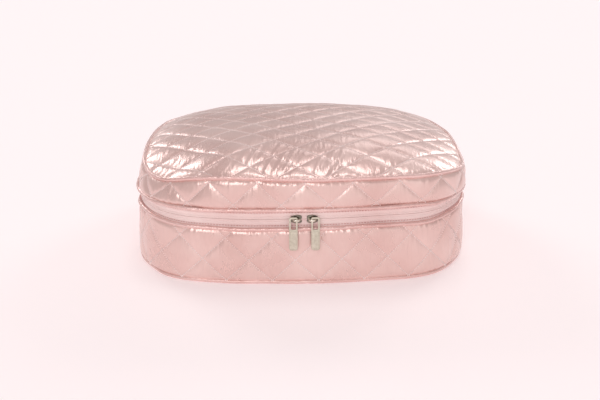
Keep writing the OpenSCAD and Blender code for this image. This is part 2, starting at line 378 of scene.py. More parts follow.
def cloth_group():
    """Woven cloth: uneven dyeing, fine threads and soft creases, as a colour mask and a height."""
    sockets = [
        ("INPUT", "Float", ("Thread Scale", "Thread Depth", "Crease Scale", "Crease Depth")),
        ("INPUT", "Vector", ("Grain",)),
        ("OUTPUT", "Float", ("Shade", "Height")),
    ]
    group = new_group("woven_cloth", sockets)
    entry = group.nodes.new("NodeGroupInput")
    leave = group.nodes.new("NodeGroupOutput")
    link = group.links.new
    where = group.nodes.new("ShaderNodeTexCoord")
    dye = add_node(group, "ShaderNodeTexNoise", Scale=26.0, Detail=3.0, Roughness=0.55)
    link(where.outputs["Object"], dye.inputs["Vector"])
    stretch = group.nodes.new("ShaderNodeMapping")
    link(entry.outputs["Grain"], stretch.inputs["Scale"])
    link(where.outputs["Object"], stretch.inputs["Vector"])
    threads = add_node(group, "ShaderNodeTexNoise", Detail=2.0, Roughness=0.6)
    link(stretch.outputs["Vector"], threads.inputs["Vector"])
    link(entry.outputs["Thread Scale"], threads.inputs["Scale"])
    creases = add_node(group, "ShaderNodeTexNoise", Detail=1.5, Roughness=0.5)
    link(stretch.outputs["Vector"], creases.inputs["Vector"])
    link(entry.outputs["Crease Scale"], creases.inputs["Scale"])
    thread_height = multiplied(group, threads.outputs["Fac"], entry.outputs["Thread Depth"])
    crease_height = multiplied(group, creases.outputs["Fac"], entry.outputs["Crease Depth"])
    height = group.nodes.new("ShaderNodeMath")
    link(thread_height, height.inputs[0])
    link(crease_height, height.inputs[1])
    # Only a little of the threads shows in the colour, or the satin would look speckled.
    blend = add_node(group, "ShaderNodeMath", operation="MULTIPLY_ADD")
    blend.inputs[1].default_value = 0.08
    link(threads.outputs["Fac"], blend.inputs[0])
    link(dye.outputs["Fac"], blend.inputs[2])
    link(blend.outputs[0], leave.inputs["Shade"])
    link(height.outputs[0], leave.inputs["Height"])
    return group


woven_cloth = cloth_group()


def grouped_finish(name, group, shade, ramp, gloss_from, gloss_to):
    """A material whose colour, gloss and bump come from a node group, with the inputs of both.

    shade is the output that drives colour and gloss, and ramp gives two places and tones.
    """
    finish = bpy.data.materials.new(name)
    finish.use_nodes = True
    tree = finish.node_tree
    shader = tree.nodes["Principled BSDF"]
    source = tree.nodes.new("ShaderNodeGroup")
    source.node_tree = group
    tones = tree.nodes.new("ShaderNodeValToRGB")
    for number, (place, tone) in enumerate(ramp):
        tones.color_ramp.elements[number].position = place
        tones.color_ramp.elements[number].color = (*tone, 1)
    tree.links.new(source.outputs[shade], tones.inputs["Fac"])
    tree.links.new(tones.outputs["Color"], shader.inputs["Base Color"])
    gloss = tree.nodes.new("ShaderNodeMapRange")
    gloss.inputs["From Min"].default_value = gloss_from[0]
    gloss.inputs["From Max"].default_value = gloss_from[1]
    gloss.inputs["To Min"].default_value = gloss_to[0]
    gloss.inputs["To Max"].default_value = gloss_to[1]
    tree.links.new(source.outputs[shade], gloss.inputs["Value"])
    tree.links.new(gloss.outputs["Result"], shader.inputs["Roughness"])
    bump = add_node(tree, "ShaderNodeBump", Strength=1.0, Distance=1.0)
    tree.links.new(source.outputs["Height"], bump.inputs["Height"])
    tree.links.new(bump.outputs["Normal"], shader.inputs["Normal"])
    return finish, source.inputs, shader.inputs


def cloth_finish(
    name,
    deep,
    pale,
    rough,
    thread,
    crease,
    grain=(1, 1, 1),
    metallic=0.0,
    sheen=0.0,
    specular=0.5,
    coat=0.0,
):
    """A cloth material, with deep and pale dye tones.

    thread and crease are (scale, depth) pairs, and grain is the squash along each axis.
    """
    ramp = [(0.285, deep), (0.785, pale)]
    gloss_to = (rough * 0.88, rough * 1.15)
    finish, cloth, shader = grouped_finish(name, woven_cloth, "Shade", ramp, (0.265, 0.865), gloss_to)
    cloth["Thread Scale"].default_value = thread[0]
    cloth["Thread Depth"].default_value = thread[1]
    cloth["Crease Scale"].default_value = crease[0]
    cloth["Crease Depth"].default_value = crease[1]
    cloth["Grain"].default_value = grain
    shader["Metallic"].default_value = metallic
    shader["Specular IOR Level"].default_value = specular
    shader["Sheen Weight"].default_value = sheen
    shader["Sheen Roughness"].default_value = 0.4
    shader["Coat Weight"].default_value = coat
    shader["Coat Roughness"].default_value = 0.38
    return finish


satin_tones = dict(
    deep=(0.75, 0.48, 0.435),
    pale=(0.89, 0.64, 0.59),
    rough=0.28,
    metallic=0.34,
    sheen=0.1,
    specular=1.0,
    coat=0.4,
)
band_satin = cloth_finish(
    "blush_satin_band", thread=(2600, 0.000015), crease=(330, 0.0006), grain=(1, 1, 0.10), **satin_tones
)
top_satin = cloth_finish(
    "blush_satin_top", thread=(2600, 0.000015), crease=(420, 0.0004), grain=(1, 0.14, 0.5), **satin_tones
)

diamonds_round = 25
diamond_w = girth / diamonds_round
cells = 14
band_columns = diamonds_round * 2 * cells


def quilt_puff(a, b):
    """Height of the wadding over stitched diamonds, from 0 on the stitches to 1 in the middle."""
    near = np.minimum(np.abs(a - np.round(a)), np.abs(b - np.round(b)))
    cushion = np.sqrt(np.abs(np.sin(math.pi * a) * np.sin(math.pi * b)))
    return 0.55 * (1 - np.exp(-near / 0.085)) + 0.45 * cushion


def puckers(across, along, seed, pace):
    """Bunched narrow folds, about -1 to 1, whose crests follow along and are near pace apart."""
    dice = np.random.default_rng(seed)
    folds = np.zeros(np.broadcast(across, along).shape)
    for _ in range(6):
        spacing = pace * dice.uniform(0.75, 1.5)
        slant = dice.uniform(-60, 60)
        folds += np.sin(2 * math.pi * across / spacing + along * slant + dice.uniform(0, 6.28))
    bunches = np.clip(0.55 + 0.55 * ripple(across, along * 0.3, seed + 100, pace * 8), 0.05, 1.6)
    return folds * bunches / 2.4


def sew_down(thing, sewn):
    """Keeps the sewn points where the needle pulled them when the surface is smoothed."""
    crease = thing.data.attributes.new("crease_vert", "FLOAT", "POINT")
    crease.data.foreach_set("value", sewn.astype(np.float32))


def quilted_band(name, z0, z1, anchor_u, anchor_z, diamond_h, inset, puff, pucker, slack, push):
    """A quilted strip round the outline between the seams at z0 and z1. pucker and slack vary by place."""
    step = diamond_h / (2 * cells)
    first = math.ceil((z0 - anchor_z) / step - 0.4)
    last = math.floor((z1 - anchor_z) / step + 0.4)
    j = np.arange(first, last + 1)
    i = np.arange(band_columns)
    i, j = np.meshgrid(i, j, indexing="ij")
    z = anchor_z + j * step
    z[:, 0] = z0
    z[:, -1] = z1
    u = anchor_u + i * diamond_w / (2 * cells)
    t = (z - z0) / (z1 - z0)
    stitched = ((i + j) % (2 * cells) == 0) | ((i - j) % (2 * cells) == 0)
    height = quilt_puff((i + j) / (2 * cells), (i - j) / (2 * cells))
    from_seam = np.minimum(t, 1 - t) * (z1 - z0)
    edge = np.clip(from_seam / 0.004, 0, 1)
    tuck = 0.0012 * np.exp(-from_seam / 0.0012)
    folds = pucker(u, t) * np.clip(from_seam / 0.0015, 0, 1) * (0.25 + 0.75 * height)
    depth = inset(u, t) + tuck - puff * height * edge - folds
    points, out = outline(u)
    points = points - out * depth[..., None]
    full = np.concatenate([points, (z + lift(u, z))[..., None]], axis=-1)
    rows = full.shape[1]
    thing = piece(name, full.reshape(-1, 3), grid_faces(band_columns, rows, True), band_satin)
    cut = full * np.stack([1 + slack(u, t), 1 + slack(u, t), np.full_like(t, 1.008)], axis=-1)
    sewn = stitched.copy()
    sewn[:, 0] = True
    sewn[:, -1] = True
    settled = relax_cloth(thing, sewn.ravel(), cut, push).reshape(full.shape)
    sew_down(thing, sewn.ravel())
    smooth_surface(thing)
    return thing, settled, i, j, out


def body_inset(u, t):
    bow = 0.0016 * np.sin(math.pi * np.clip(t, 0, 1)) ** 0.7
    spread = 0.0044 * (1 - t) ** 2
    dent = 0.0016 * swell(u, front_right + 0.002, 0.007) * np.exp(-(((t - 0.42) / 0.07) ** 2))
    return 0.0024 - bow - spread + dent + 0.0005 * ripple(u, t * 0.04, 5, 0.09)


def body_pucker(u, t):
    height = body_seam_z - 0.003
    slant = u + 0.10 * height * t
    under_zip = 0.00056 * np.exp(-(1 - t) * height / 0.0075)
    over_base = 0.00024 * np.exp(-t * height / 0.005)
    return (under_zip + over_base + 0.00014) * puckers(slant, height * t, 71, 0.0052)


def body_slack(u, t):
    gathers = 0.045 * np.exp(-((1 - t) / 0.22) ** 2) + 0.02 * np.exp(-(t / 0.15) ** 2)
    return 0.012 + gathers * (1 + 0.5 * ripple(u, t * 0.02, 6, 0.05))


body_band, body_points, body_i, body_j, body_out = quilted_band(
    "quilted_body_band",
    z0=0.0030,
    z1=body_seam_z,
    anchor_u=0.0117,
    anchor_z=0.0409,
    diamond_h=0.037,
    inset=body_inset,
    puff=0.0013,
    pucker=body_pucker,
    slack=body_slack,
    push=2,
)
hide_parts("body_band")
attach(body_band, "bag_body")

# ---- Quilting thread ----
# Polyester thread, one lockstitch about every 2.6 mm along the diamonds, pulled down
# into the satin so that each stitch shows as a small pale dash.

thread = cloth_finish(
    "quilting_thread",
    deep=(0.92, 0.72, 0.69),
    pale=(1.0, 0.88, 0.86),
    rough=0.40,
    thread=(5000, 0.00002),
    crease=(900, 0.00002),
    sheen=0.1,
)


def stitches(name, starts, ends, outward, finish=thread, radius=0.00062, cover=0.72):
    """One row of stitches: a tapered five-sided dash between each pair of points, lying on the cloth."""
    along_dirs = ends - starts
    lengths = np.linalg.norm(along_dirs, axis=1, keepdims=True)
    along_dirs = along_dirs / lengths
    across = np.cross(outward, along_dirs)
    across /= np.linalg.norm(across, axis=1, keepdims=True)
    upward = np.cross(along_dirs, across)
    middle = (starts + ends) / 2 + outward * radius * 0.5
    sides = 5
    rings = [(-0.5, 0.35, -0.8), (0.0, 1.0, 0.0), (0.5, 0.35, -0.8)]
    points = []
    for place, width, drop in rings:
        for side in range(sides):
            angle = 2 * math.pi * side / sides
            ring = middle + along_dirs * lengths * place * cover
            ring = ring + across * math.cos(angle) * radius * width
            points.append(ring + upward * (math.sin(angle) * radius * width + drop * radius))
    return piece(name, np.stack(points, axis=1), rod_faces(len(rings), sides, len(starts)), finish)


def band_stitches(name, points, i, j, out):
    """Stitches along both sets of diagonals of a quilted band."""
    starts, ends, outward = [], [], []
    for sign in (1, -1):
        line = (i - sign * j) % (2 * cells) == 0
        here = line[:, :-1]
        rolled = np.roll(points, -sign, axis=0)
        starts.append(points[:, :-1][here])
        ends.append(rolled[:, 1:][here])
        outward.append(out[:, :-1][here])
    outward = np.concatenate(outward)
    outward = np.concatenate([outward, np.zeros((len(outward), 1))], axis=1)
    return stitches(name, np.concatenate(starts), np.concatenate(ends), outward)


body_thread = band_stitches("body_quilting_thread", body_points, body_i, body_j, body_out)
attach(body_thread, "bag_body")

# ---- The lid's quilted side band ----
# A narrower strip of the same quilted satin, which leans in a little towards the top seam.


def lid_inset(u, t):
    bow = 0.0014 * np.sin(math.pi * np.clip(t, 0, 1)) ** 0.7
    return 0.0022 + (lid_lean + lid_slump(u)) * t - bow + 0.0005 * ripple(u, t * 0.02, 8, 0.07)


def lid_pucker(u, t):
    height = lid_seam_z - lid_rim_z
    slant = u - 0.12 * height * t
    under_top = 0.00050 * np.exp(-(1 - t) * height / 0.0090)
    over_zip = 0.00024 * np.exp(-t * height / 0.0045)
    return (under_top + over_zip) * puckers(slant, height * t, 74, 0.0056)


def lid_slack(u, t):
    gathers = 0.05 * np.exp(-((1 - t) / 0.35) ** 2) + 0.015 * np.exp(-(t / 0.2) ** 2)
    return 0.015 + gathers * (1 + 0.6 * ripple(u, t * 0.02, 9, 0.05))


lid_band, lid_points, lid_i, lid_j, lid_out = quilted_band(
    "quilted_lid_band",
    z0=lid_rim_z,
    z1=lid_seam_z,
    anchor_u=0.0006,
    anchor_z=0.0868,
    diamond_h=0.034,
    inset=lid_inset,
    puff=0.0015,
    pucker=lid_pucker,
    slack=lid_slack,
    push=2,
)
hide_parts("lid_band")
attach(lid_band, "lid")
lid_thread = band_stitches("lid_band_quilting_thread", lid_points, lid_i, lid_j, lid_out)
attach(lid_thread, "lid")

# ---- The quilted lid top ----
# A flat quilted panel stretched over a foam pad, so that it domes and puckers along its
# stitching, and gathers where its edge is eased into the top seam.

panel_inset = lid_lean + cord_r
rim_u = np.linspace(0, girth, 1441)
rim_points, _ = outline(rim_u, panel_inset + lid_slump(rim_u))
rim_angle = np.unwrap(np.arctan2(rim_points[:, 1], rim_points[:, 0]))
rim_radius = np.linalg.norm(rim_points, axis=1)
crown_rise = 0.0160
crown_fullness = 3.3


def rim_of(x, y):
    """How far out points on the lid are, up to 1 at the seam, and their places round the rim."""
    angle = np.arctan2(y, x)
    angle = np.where(angle < rim_angle[0], angle + 2 * math.pi, angle)
    return np.hypot(x, y) / np.interp(angle, rim_angle, rim_radius), np.interp(angle, rim_angle, rim_u)


def crown(x, y):
    """Height of the lid's padded top above the table."""
    share, u = rim_of(x, y)
    share = np.clip(share, 0, 1.2)
    soft = 0.0007 * ripple(x, y, 21, 0.11) * np.clip((1 - share) * 5, 0, 1)
    return lid_seam_z + crown_rise * (1 - share ** crown_fullness) + lid_seam_lift(u) * share ** 3 + soft


top_diamond_w = 0.0381
top_diamond_h = 0.0305
top_shift = 0.0139
step_x = top_diamond_w / (2 * cells)
step_s = top_diamond_h / (2 * cells)
half_y = half_d - panel_inset
profile_y = np.linspace(-half_y, half_y, 901)
profile_z = crown_rise * (1 - np.abs(profile_y / half_y) ** crown_fullness)
profile_s = np.concatenate([[0], np.cumsum(np.hypot(np.diff(profile_y), np.diff(profile_z)))])
columns = np.arange(-int(half_w / step_x), int(half_w / step_x) + 1)
rows = np.arange(-1, int(profile_s[-1] / step_s) + 2)
top_i, top_j = np.meshgrid(columns, rows, indexing="ij")
top_x = top_shift + top_i * step_x
top_y = np.interp(top_j * step_s, profile_s, profile_y)
top_y = np.where(top_j < 0, profile_y[0] + top_j * step_s, top_y)
share, top_u = rim_of(top_x, top_y)
height = quilt_puff((top_i + top_j) / (2 * cells), (top_i - top_j) / (2 * cells))
reach = share < 1.0
whole = reach[:-1, :-1] & reach[1:, :-1] & reach[:-1, 1:] & reach[1:, 1:]
used = np.zeros_like(reach)
for di in (0, 1):
    for dj in (0, 1):
        used[di:used.shape[0] - 1 + di, dj:used.shape[1] - 1 + dj] |= whole
numbers = -np.ones(reach.shape, int)
numbers[used] = np.arange(used.sum())
ci, cj = np.nonzero(whole)
corners = [numbers[ci, cj], numbers[ci + 1, cj], numbers[ci + 1, cj + 1], numbers[ci, cj + 1]]
top_faces = np.stack(corners, axis=1)
corner_count = np.zeros(used.sum(), int)
np.add.at(corner_count, top_faces.ravel(), 1)
on_edge = np.zeros_like(reach)
on_edge[used] = corner_count < 4
top_x = np.where(on_edge, top_x / share, top_x)
top_y = np.where(on_edge, top_y / share, top_y)
share = np.where(on_edge, 1.0, share)
# The front slope has the most cloth to spare, and the flat middle the least.
front_slope = np.exp(-(((top_y + 0.098) / 0.022) ** 2)) * np.exp(-(((top_x - 0.004) / 0.066) ** 4))
from_rim = (1 - share) * half_d
folds = 0.00062 * front_slope * puckers(top_x - 0.28 * top_y, top_y, 77, 0.0060)
folds += 0.00024 * np.exp(-from_rim / 0.005) * puckers(top_u, from_rim, 80, 0.0048)
folds += 0.00004 * puckers(top_x - 0.5 * top_y, top_y, 83, 0.0070)
edge = np.clip(from_rim / 0.004, 0, 1)
folds = folds * np.clip(from_rim / 0.002, 0, 1) * (0.3 + 0.7 * height)
top_puff = 0.0011
top_z = crown(top_x, top_y) + top_puff * height * edge + folds
top_line = ((top_i + top_j) % (2 * cells) == 0) | ((top_i - top_j) % (2 * cells) == 0)
lid_top = piece(
    "quilted_lid_top", np.stack([top_x[used], top_y[used], top_z[used]], axis=1), top_faces, top_satin
)
room_across = 0.006 + 0.050 * front_slope + 0.008 * np.clip(share - 0.72, 0, 1) / 0.28
cut_x = np.cumsum((1 + room_across) * step_x, axis=0)
cut_x -= cut_x[cut_x.shape[0] // 2][None]
cut_y = top_y * 1.006
top_cut = np.stack([cut_x[used], cut_y[used], top_z[used]], axis=1)
top_settled = relax_cloth(lid_top, (top_line | on_edge)[used], top_cut, push=1.2)
sew_down(lid_top, (top_line | on_edge)[used])
smooth_surface(lid_top)
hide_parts("lid_top_panel")
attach(lid_top, "lid")

top_points = np.zeros(reach.shape + (3,))
top_points[used] = top_settled
starts, ends = [], []
for sign in (1, -1):
    line = (top_i - sign * top_j) % (2 * cells) == 0
    for di, dj in np.argwhere(line & used):
        ni, nj = di + sign, dj + 1
        if 0 <= ni < used.shape[0] and nj < used.shape[1] and used[ni, nj]:
            starts.append(top_points[di, dj])
            ends.append(top_points[ni, nj])
starts = np.array(starts)
ends = np.array(ends)
middle_share, _ = rim_of((starts[:, 0] + ends[:, 0]) / 2, (starts[:, 1] + ends[:, 1]) / 2)
slope = (crown_rise * crown_fullness * middle_share ** (crown_fullness - 1) / 0.12)[:, None]
flat_out = (starts + ends)[:, :2] / np.linalg.norm((starts + ends)[:, :2], axis=1, keepdims=True)
outward = np.concatenate([flat_out * slope, np.ones((len(starts), 1))], axis=1)
outward /= np.linalg.norm(outward, axis=1, keepdims=True)
top_thread = stitches("lid_top_quilting_thread", starts, ends, outward)
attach(top_thread, "lid")

# ---- Pipings ----
# Cotton cord covered with bias-cut satin and caught in the seams: round the base, along
# both sides of the zip and round the lid's top. The cover puckers where the seam pulls.

piping_satin = cloth_finish(
    "piping_satin",
    deep=(0.74, 0.42, 0.38),
    pale=(0.93, 0.65, 0.61),
    rough=0.24,
    thread=(3000, 0.00004),
    crease=(420, 0.0006),
    metallic=0.3,
    sheen=0.15,
    specular=1.0,
    coat=0.5,
)


def piping(name, node, z, inset, body, rise, seed):
    """A covered cord round the outline, with its seam line on the inside."""
    count = 620
    sides = 12
    u = np.arange(count) * girth / count
    centre, out = outline(u, inset(u) if callable(inset) else inset)
    angle = 2 * math.pi * np.arange(sides) / sides
    uu, aa = np.meshgrid(u, angle, indexing="ij")
    pucker = 0.00010 * ripple(uu + 0.0006 * aa, aa * 0.003, seed, 0.006, 9)
    radius = cord_r * 0.96 + pucker
    flat = centre[:, None, :] + out[:, None, :] * (np.cos(aa) * radius)[..., None]
    flat = flat + out[:, None, :] * (0.00035 * ripple(uu, 0 * aa, seed + 1, 0.05))[..., None]
    height = z + rise(uu) + np.sin(aa) * radius + 0.00025 * ripple(uu, 0 * aa, seed + 2, 0.04)
    height = np.maximum(height, 0.0)
    points = np.concatenate([flat, height[..., None]], axis=-1)
    thing = piece(name, points, grid_faces(count, sides, True, tube=True), piping_satin)
    smooth_surface(thing)
    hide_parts(node)
    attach(thing, body)
    return thing


piping("base_cord_piping", "base_piping", cord_r, -0.0004, "bag_body", lambda u: 0 * u, 31)
piping("body_cord_piping", "body_zip_piping", body_seam_z, cord_r, "bag_body", body_seam_lift, 34)
piping("lid_rim_cord_piping", "lid_zip_piping", lid_rim_z, cord_r, "lid", lid_rim_lift, 37)
piping(
    "lid_top_cord_piping",
    "lid_top_piping",
    lid_seam_z,
    lambda u: panel_inset + lid_slump(u),
    "lid",
    lid_seam_lift,
    40,
)

# ---- The base ----
# A flat satin panel is sewn under the bag, with a stiff board loose inside it. The board
# is never seen; the panel's underside shows faint creases where it was pressed.


def ring_sweep(name, profile, finish, wander, count=420):
    """A closed soft strip round the outline.

    profile is its section as (inset, height), and wander(u, k) moves point k of it inwards.
    """
    u = np.arange(count) * girth / count
    points = []
    for k, (inset, z) in enumerate(profile):
        flat, out = outline(u, inset)
        flat = flat - out * wander(u, k)[:, None]
        points.append(at_height(flat, u, z))
    faces = grid_faces(count, len(profile), True, tube=True)
    thing = piece(name, np.stack(points, axis=1), faces, finish)
    smooth_surface(thing)
    return thing


def soft_disc(name, inset, low, high, finish, ripple_seed, ripple_height, slump=None, rings=26, count=360):
    """A closed flat pad that fills the outline moved in by inset.

    low and high give the heights of its two faces by x and y.
    """
    u = np.arange(count) * girth / count
    edge, _ = outline(u, inset if slump is None else inset + slump(u))
    points = []
    for face, heights in ((0, high), (1, low)):
        for ring in range(rings):
            share = 1 - 0.985 * (ring / (rings - 1)) ** 1.3
            flat = edge * share
            z = heights(flat[:, 0], flat[:, 1])
            if face == 0:
                calm = np.clip((1 - share) * 8, 0, 1)
                z = z + ripple_height * calm * ripple(flat[:, 0], flat[:, 1], ripple_seed, 0.035, 9)
            points.append(np.column_stack([flat, z]))
    points = np.array(points)
    order = list(range(rings - 1, -1, -1)) + list(range(rings, 2 * rings))
    points = points[order]
    total = len(order)
    j, i = np.meshgrid(np.arange(total - 1), np.arange(count), indexing="ij")
    k = (i + 1) % count
    corners = [j * count + i, (j + 1) * count + i, (j + 1) * count + k, j * count + k]
    faces = np.stack(corners, axis=-1).reshape(-1, 4).tolist()
    caps = [list(range(count)), list(range((total - 1) * count, total * count))[::-1]]
    thing = piece(name, points, faces + caps, finish)
    face_outwards(thing.data)
    return thing


def face_outwards(mesh):
    """Turns every face of a closed mesh outwards."""
    shell = bmesh.new()
    shell.from_mesh(mesh)
    bmesh.ops.recalc_face_normals(shell, faces=shell.faces)
    shell.to_mesh(mesh)
    shell.free()


base_high = corners_of("base_panel")[1]
base_satin = cloth_finish(
    "base_satin", thread=(2600, 0.00004), crease=(260, 0.0005), grain=(1, 1, 1), **satin_tones
)
base_cloth = soft_disc(
    "base_bottom_panel",
    half_w - base_high[0] - 0.002,
    lambda x, y: 0.0004 + 0 * x,
    lambda x, y: base_high[2] - 0.0002 + 0 * x,
    base_satin,
    61,
    0.0,
)
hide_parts("base_panel")
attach(base_cloth, "bag_body")

board_paper = cloth_finish(
    "board_fibre",
    deep=(0.42, 0.34, 0.26),
    pale=(0.60, 0.51, 0.41),
    rough=0.8,
    thread=(900, 0.0002),
    crease=(120, 0.0002),
)
for board_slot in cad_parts["base_board"].material_slots:
    board_slot.material = board_paper

# ---- The body's lining and wadding ----
# Plain woven taffeta over thin foam, rolled over at the top against the zip tape. The
# floor lining is a flat padded piece, and a folded binding covers the seam round it.

taffeta = cloth_finish(
    "lining_taffeta",
    deep=(0.76, 0.51, 0.47),
    pale=(0.86, 0.63, 0.59),
    rough=0.46,
    thread=(2200, 0.00008),
    crease=(150, 0.0012),
    grain=(1, 1, 0.35),
    metallic=0.10,
    sheen=0.25,
    specular=0.6,
)
wall_low, wall_high = corners_of("body_lining")
foam_high = corners_of("body_foam")[1]
outer_inset = half_w - foam_high[0]
lining_inset = half_w - wall_high[0]


def lining_creases(seed, depth, inner, follow=None):
    """Moves the inner points of a lining's section in and out, over the lean that follow gives."""

    def wander(u, k):
        lean = 0 * u if follow is None else follow(u, k)
        return lean - inner.get(k, 0) * depth * (0.5 + 0.5 * ripple(u, u * 0 + k * 0.006, seed, 0.045, 9))

    return wander


wall_top = wall_high[2]
body_wall_section = [
    (outer_inset + 0.0002, wall_low[2]),
    (lining_inset + 0.0006, wall_low[2]),
    (lining_inset + 0.0007, wall_low[2] + 0.006),
    (lining_inset + 0.0007, wall_low[2] + 0.014),
    (lining_inset + 0.0007, wall_low[2] + 0.022),
    (lining_inset + 0.0007, wall_low[2] + 0.030),
    (lining_inset + 0.0007, wall_top - 0.007),
    (lining_inset + 0.0005, wall_top - 0.0025),
    (lining_inset - 0.0004, wall_top - 0.0006),
    (outer_inset + 0.0008, wall_top - 0.0001),
    (outer_inset + 0.0002, wall_top - 0.0010),
    (outer_inset + 0.0002, (wall_low[2] + wall_top) / 2),
]
body_wall = ring_sweep(
    "body_padded_lining",
    body_wall_section,
    taffeta,
    lining_creases(62, 0.0010, {2: 0.4, 3: 0.9, 4: 1.0, 5: 0.9, 6: 0.4}),
)
face_outwards(body_wall.data)
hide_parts("body_lining", "body_foam")
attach(body_wall, "bag_body")

floor_low, floor_high = corners_of("base_lining")
floor_pad = soft_disc(
    "floor_lining",
    half_w - floor_high[0] + 0.0006,
    lambda x, y: floor_low[2] + 0.0001 + 0 * x,
    lambda x, y: floor_high[2] + 0.0010 * (1 - (np.hypot(x / half_w, y / half_d)) ** 4),
    taffeta,
    64,
    0.0005,
)
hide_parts("base_lining")
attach(floor_pad, "bag_body")

binding_cloth = cloth_finish(
    "seam_binding",
    deep=(0.76, 0.49, 0.46),
    pale=(0.90, 0.66, 0.63),
    rough=0.5,
    thread=(1500, 0.00015),
    crease=(500, 0.0004),
    sheen=0.2,
)


def binding(name, node, body, seed, hangs):
    """A folded tape over a seam allowance, sewn with one row of stitches.

    hangs is 1 where it stands up and -1 where it hangs down.
    """
    low, high = corners_of(node)
    outer = half_w - high[0] + 0.0001
    thick = 0.0020
    tall = high[2] - low[2]
    root = low[2] if hangs > 0 else high[2]
    section = [
        (outer, root),
        (outer, root + hangs * tall * 0.55),
        (outer + 0.0001, root + hangs * tall * 0.88),
        (outer + thick / 2, root + hangs * tall),
        (outer + thick - 0.0001, root + hangs * tall * 0.88),
        (outer + thick + 0.0001, root + hangs * tall * 0.55),
        (outer + thick, root),
    ]
    settle = 0.75 if body == "lid" else 0.0

    def waver(u, k):
        free = 0.00035 * ripple(u, u * 0, seed, 0.02, 9) * (0 if k in (0, 6) else 1)
        return free + settle * lid_slump(u)

    tape = ring_sweep(name, section, binding_cloth, waver, count=520)
    face_outwards(tape.data)
    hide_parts(node)
    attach(tape, body)
    row = np.linspace(0, girth, 361)
    flat, out = outline(row, outer + thick + 0.0001)
    flat = flat - out * waver(row, 3)[:, None]
    z = root + hangs * tall * 0.5
    line = at_height(flat, row, z)
    inwards = np.column_stack([-out, np.zeros(len(out))])
    sewing = stitches(name + "_stitching", line[:-1], line[1:], inwards[:-1], thread, 0.00030, 0.78)
    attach(sewing, body)


binding("floor_seam_binding", "base_seam_binding", "bag_body", 66, 1)

# ---- The lid's lining and wadding ----
# The same taffeta and foam: a narrow wall, a domed ceiling under the quilted top and a
# folded binding over the seam between the two.

lid_wall_low, lid_wall_high = corners_of("lid_band_lining")
lid_span = lid_seam_z - lid_rim_z


def leaned(z):
    """How far the lid's band has leaned in at height z."""
    return lid_lean * np.clip((z - lid_rim_z) / lid_span, 0, 1)


lid_wall_top = lid_wall_high[2]
lid_wall_bottom = lid_wall_low[2]
lid_wall_places = [
    (outer_inset + 0.0002, lid_wall_top),
    (outer_inset + 0.0002, (lid_wall_top + lid_wall_bottom) / 2),
    (outer_inset + 0.0002, lid_wall_bottom + 0.0012),
    (outer_inset + 0.0009, lid_wall_bottom + 0.0002),
    (lining_inset - 0.0004, lid_wall_bottom + 0.0007),
    (lining_inset + 0.0005, lid_wall_bottom + 0.0026),
    (lining_inset + 0.0007, lid_wall_bottom + 0.0075),
    (lining_inset + 0.0007, (lid_wall_top + lid_wall_bottom) / 2),
    (lining_inset + 0.0007, lid_wall_top - 0.006),
    (lining_inset + 0.0006, lid_wall_top),
]
lid_wall = ring_sweep(
    "lid_padded_lining",
    [(inset + leaned(z), z) for inset, z in lid_wall_places],
    taffeta,
    lining_creases(
        67,
        0.0008,
        {6: 0.5, 7: 1.0, 8: 0.5},
        lambda u, k: lid_slump(u) * leaned(lid_wall_places[k][1]) / lid_lean,
    ),
)
face_outwards(lid_wall.data)
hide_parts("lid_band_lining", "lid_band_foam")
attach(lid_wall, "lid")

ceiling_high = corners_of("lid_top_lining")[1]
ceiling = soft_disc(
    "lid_ceiling_lining",
    half_w - ceiling_high[0] + 0.0002,
    lambda x, y: crown(x, y) - 0.0052,
    lambda x, y: crown(x, y) - 0.0016,
    taffeta,
    68,
    0.0,
    lid_slump,
)
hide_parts("lid_top_lining", "lid_top_foam")
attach(ceiling, "lid")
binding("lid_seam_tape", "lid_seam_binding", "lid", 69, -1)

# ---- Zip tapes ----
# Two woven polyester tapes, sewn in behind the pipings. The nylon coil is on the inside,
# so outside only its two rows of stitching show beside the line where the tapes meet.

tape_cloth = cloth_finish(
    "zip_tape_weave",
    deep=(0.85, 0.62, 0.59),
    pale=(0.96, 0.78, 0.75),
    rough=0.38,
    thread=(1800, 0.00012),
    crease=(200, 0.0002),
    sheen=0.2,
    specular=0.4,
)
rose_thread = cloth_finish(
    "rose_thread",
    deep=(0.62, 0.29, 0.27),
    pale=(0.76, 0.42, 0.39),
    rough=0.45,
    thread=(5000, 0.00002),
    crease=(900, 0.00002),
    sheen=0.1,
)
lower_high = corners_of("lower_zip_tape")[1]
upper_low = corners_of("upper_zip_tape")[0]
zip_z = (lower_high[2] + upper_low[2]) / 2
tape_inset = half_w - lower_high[0]
hinge_low, hinge_high = corners_of("hinge_panel")
hinge_half = hinge_high[0]
zip_end = girth / 2 - hinge_half + 0.001


